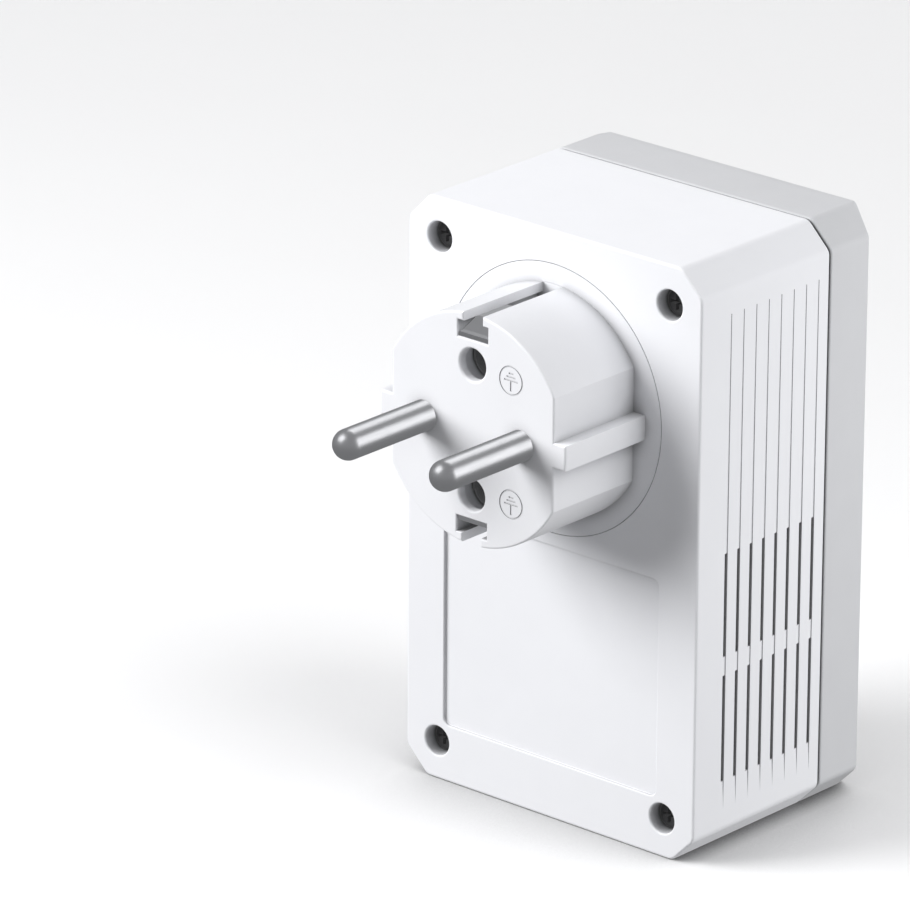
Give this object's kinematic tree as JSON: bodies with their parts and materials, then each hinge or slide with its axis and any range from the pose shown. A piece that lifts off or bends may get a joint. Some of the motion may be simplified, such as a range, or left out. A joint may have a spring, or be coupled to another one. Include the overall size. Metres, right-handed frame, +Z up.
{
  "type": "powerline adapter",
  "caption": "Plug-in powerline network adapter: white vented case, silver front cover, round mains plug on the back, pass-through socket on the front and an ethernet port below.",
  "frame": {"origin": "centre of the plug's flat face, on the plug's axis, between the two pins", "axes": "-Y along the pins into the wall socket, +Y out of the pass-through socket, +Z up with the ethernet port at the bottom, +X to the right seen from the wall"},
  "size_m": [0.0574, 0.0779, 0.0941],
  "materials": {
    "white_shell": "fine satin",
    "silver_cover": "satin",
    "white_insert": "fine satin",
    "nickel": "satin nickel plate",
    "socket_plastic": "satin",
    "brass": "stamped sheet",
    "natural_plastic": "moulded",
    "shutter_plastic": "moulded",
    "steel": "zinc plate",
    "black_steel": "black oxide",
    "board": "solder mask",
    "brown_plastic": "moulded",
    "blue_epoxy": "dipped epoxy",
    "blue_wire": "extruded",
    "yellow_plastic": "moulded",
    "copper": "enamelled wire",
    "ferrite": "sintered",
    "black_plastic": "moulded",
    "aluminium": "extruded",
    "jack_metal": "tin plate",
    "key_plastic": "satin",
    "clear_plastic": "clear polycarbonate",
    "led": "clear epoxy"
  },
  "bodies": {
    "case": {"rear_shell": "white_shell", "front_cover": "silver_cover", "plug_insert": "white_insert", "plug_pin_left": "nickel", "plug_pin_right": "nickel", "earth_sleeve_lower": "nickel", "earth_sleeve_upper": "nickel", "plug_earth_bow": "nickel", "socket_insert": "socket_plastic", "socket_earth_bow": "nickel", "earth_rivet": "brass", "contact_carrier": "natural_plastic", "line_contact_left": "brass", "line_contact_right": "brass", "shutter_spring": "steel", "case_screw_upper_left": "black_steel", "case_screw_upper_right": "black_steel", "case_screw_lower_left": "black_steel", "case_screw_lower_right": "black_steel", "board_screw_left": "steel", "board_screw_right": "steel", "carrier_screw_left": "steel", "carrier_screw_right": "steel", "main_board": "board", "fuse": "brown_plastic", "varistor": "blue_epoxy", "x2_capacitor": "yellow_plastic", "line_choke": "copper", "transformer_core": "ferrite", "transformer_winding": "yellow_plastic", "bulk_capacitor_left": "black_plastic", "bulk_capacitor_right": "black_plastic", "output_capacitor": "black_plastic", "coupling_transformer": "ferrite", "powerline_chip": "black_plastic", "chip_heatsink": "aluminium", "ethernet_transformer": "black_plastic", "crystal": "steel", "ethernet_jack": "jack_metal", "jack_contacts": "brass", "live_lead": "brown_plastic", "neutral_lead": "blue_wire", "pair_switch": "black_plastic", "reset_switch": "black_plastic", "light_guide": "clear_plastic", "led_left": "led", "led_middle": "led", "led_right": "led"},
    "shutter": {"safety_shutter": "shutter_plastic"},
    "pair_key": {"pair_button": "key_plastic", "pair_plunger": "shutter_plastic"},
    "reset_key": {"reset_button": "key_plastic", "reset_plunger": "shutter_plastic"}
  },
  "joints": [
    {"name": "shutter_turn", "type": "hinge", "parent": "case", "child": "shutter", "pos_m": [0, 0.0376, 0], "axis": [0, 1, 0], "range_deg": [0, 42], "stiffness_Nm_per_rad": 0.001, "springref_deg": -28.65, "deforming": ["shutter_spring"]},
    {"name": "pair_press", "type": "slide", "parent": "case", "child": "pair_key", "axis": [0, -1, 0], "range_m": [0, 0.0005], "stiffness_N_per_m": 1000, "springref_m": -0.0005},
    {"name": "reset_press", "type": "slide", "parent": "case", "child": "reset_key", "axis": [0, 0, 1], "range_m": [0, 0.0005], "stiffness_N_per_m": 1000, "springref_m": -0.0005}
  ]
}
